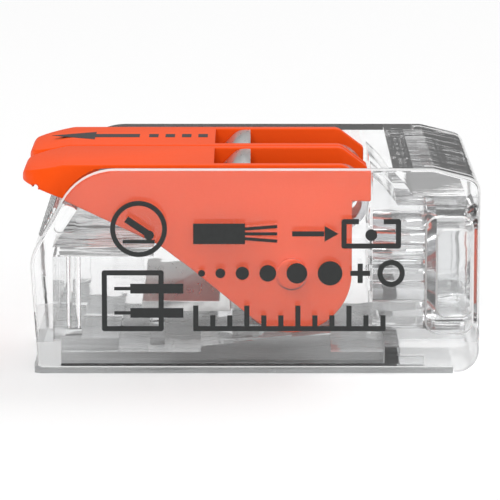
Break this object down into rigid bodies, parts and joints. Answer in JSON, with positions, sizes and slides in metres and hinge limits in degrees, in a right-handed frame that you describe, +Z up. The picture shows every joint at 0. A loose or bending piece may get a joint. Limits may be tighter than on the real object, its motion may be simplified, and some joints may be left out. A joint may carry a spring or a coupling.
{
  "type": "lever wire connector",
  "caption": "Clear splicing connector whose orange levers open spring clamps, so that stripped wires pushed into its end are joined by a busbar.",
  "frame": {"origin": "centre of the flat underside", "axes": "+X towards the wire entries, lever tips at -X, the poles side by side along Y, +Z up"},
  "size_m": [0.0186, 0.0132, 0.0084],
  "materials": {
    "clear_shell": "clear polycarbonate, polished",
    "clear_base": "clear polycarbonate, polished",
    "lever_orange": "orange polyamide, satin gloss",
    "tinned_copper": "bright tin plating on copper",
    "spring_steel": "rolled stainless spring strip"
  },
  "bodies": {
    "housing": {"housing_shell": "clear_shell", "housing_base": "clear_base", "busbar": "tinned_copper", "spring_near_holder": "spring_steel", "spring_far_holder": "spring_steel"},
    "near_lever": {"lever_near": "lever_orange"},
    "far_lever": {"lever_far": "lever_orange"},
    "near_clamp": {"spring_near_leg": "spring_steel"},
    "far_clamp": {"spring_far_leg": "spring_steel"}
  },
  "joints": [
    {"name": "near_lever_hinge", "type": "hinge", "parent": "housing", "child": "near_lever", "pos_m": [0.00169, -0.0028, 0.004], "axis": [0, 1, 0], "range_deg": [0, 85]},
    {"name": "near_clamp_hinge", "type": "hinge", "parent": "housing", "child": "near_clamp", "pos_m": [0.00369, -0.0028, 0.00672], "axis": [0, 1, 0], "range_deg": [0, 32]},
    {"name": "far_lever_hinge", "type": "hinge", "parent": "housing", "child": "far_lever", "pos_m": [0.00169, 0.0028, 0.004], "axis": [0, 1, 0], "range_deg": [0, 85]},
    {"name": "far_clamp_hinge", "type": "hinge", "parent": "housing", "child": "far_clamp", "pos_m": [0.00369, 0.0028, 0.00672], "axis": [0, 1, 0], "range_deg": [0, 32]}
  ],
  "couplings": [
    {"joint": "near_clamp_hinge", "follows": "near_lever_hinge", "ratio": 0.375},
    {"joint": "far_clamp_hinge", "follows": "far_lever_hinge", "ratio": 0.375}
  ]
}
